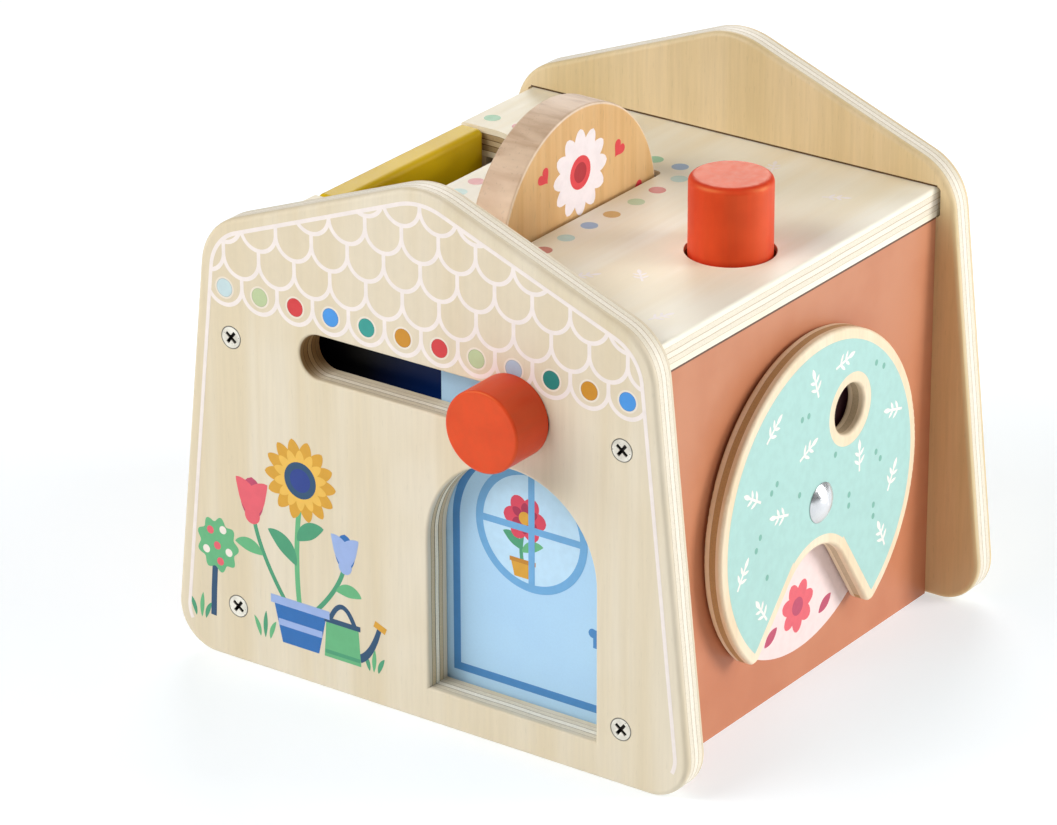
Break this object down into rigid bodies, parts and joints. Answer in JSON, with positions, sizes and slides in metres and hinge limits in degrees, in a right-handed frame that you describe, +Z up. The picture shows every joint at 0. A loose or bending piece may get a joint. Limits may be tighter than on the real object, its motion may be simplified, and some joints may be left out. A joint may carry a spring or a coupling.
{
  "type": "wooden hide-and-seek house",
  "caption": "House-shaped wooden toy with a sliding front door, a turning disc on one side, a picture wheel and a sprung peg in the roof, and a side flap that drops open.",
  "frame": {"origin": "middle of the base's underside, on the surface that the house stands on", "axes": "+X to the right as the front gable is faced, +Y to the rear gable, +Z up"},
  "size_m": [0.177, 0.1748, 0.1601],
  "materials": {
    "birch_ply": "pale birch plywood under clear matt lacquer, with print on its face",
    "plain_ply": "bare plywood",
    "terracotta_ply": "matt terracotta paint",
    "navy_board": "matt navy print",
    "blue_board": "matt light blue print",
    "red_wood": "satin red paint over turned wood",
    "yellow_ply": "satin yellow paint",
    "turquoise_ply": "matt turquoise print on plywood",
    "beech": "clear satin lacquer on beech",
    "steel": "plain bright steel",
    "zinc_steel": "bright zinc plate",
    "chrome": "polished",
    "moulded_plastic": "off-white moulded plastic"
  },
  "bodies": {
    "house": {"front_gable": "birch_ply", "rear_gable": "birch_ply", "left_wall": "terracotta_ply", "right_wall": "terracotta_ply", "base_board": "plain_ply", "roof_board": "birch_ply", "backing_board": "navy_board", "door_rail": "plain_ply", "front_screws": "zinc_steel", "rear_screws": "zinc_steel", "wheel_axle": "steel", "wheel_spacers": "moulded_plastic", "axle_cleats": "plain_ply", "cleat_screws": "zinc_steel", "disc_pivot": "chrome", "disc_spacer": "steel", "pivot_washer": "steel", "pivot_screw": "zinc_steel", "peg_cup": "moulded_plastic", "cup_screws": "zinc_steel", "peg_spring": "steel", "flap_pins": "steel", "picture_board": "plain_ply"},
    "door": {"door_panel": "blue_board", "door_knob": "red_wood", "knob_screw": "zinc_steel"},
    "wheel": {"picture_wheel": "beech"},
    "disc": {"turning_disc": "turquoise_ply"},
    "peg": {"push_peg": "red_wood", "peg_pin": "steel"},
    "flap": {"flap_door": "yellow_ply"}
  },
  "joints": [
    {"name": "door_slide", "type": "slide", "parent": "house", "child": "door", "axis": [-1, 0, 0], "range_m": [0, 0.0614]},
    {"name": "wheel_spin", "type": "hinge", "parent": "house", "child": "wheel", "pos_m": [-0.0072, -0.003, 0.122], "axis": [1, 0, 0], "continuous": true},
    {"name": "disc_spin", "type": "hinge", "parent": "house", "child": "disc", "pos_m": [0.0748, 0.002, 0.0575], "axis": [1, 0, 0], "continuous": true},
    {"name": "peg_press", "type": "slide", "parent": "house", "child": "peg", "axis": [0, 0, -1], "range_m": [0, 0.018], "stiffness_N_per_m": 200, "springref_m": -0.01, "deforming": ["peg_spring"]},
    {"name": "flap_tilt", "type": "hinge", "parent": "house", "child": "flap", "pos_m": [-0.0676, 0, 0.0397], "axis": [0, -1, 0], "range_deg": [0, 96]}
  ]
}
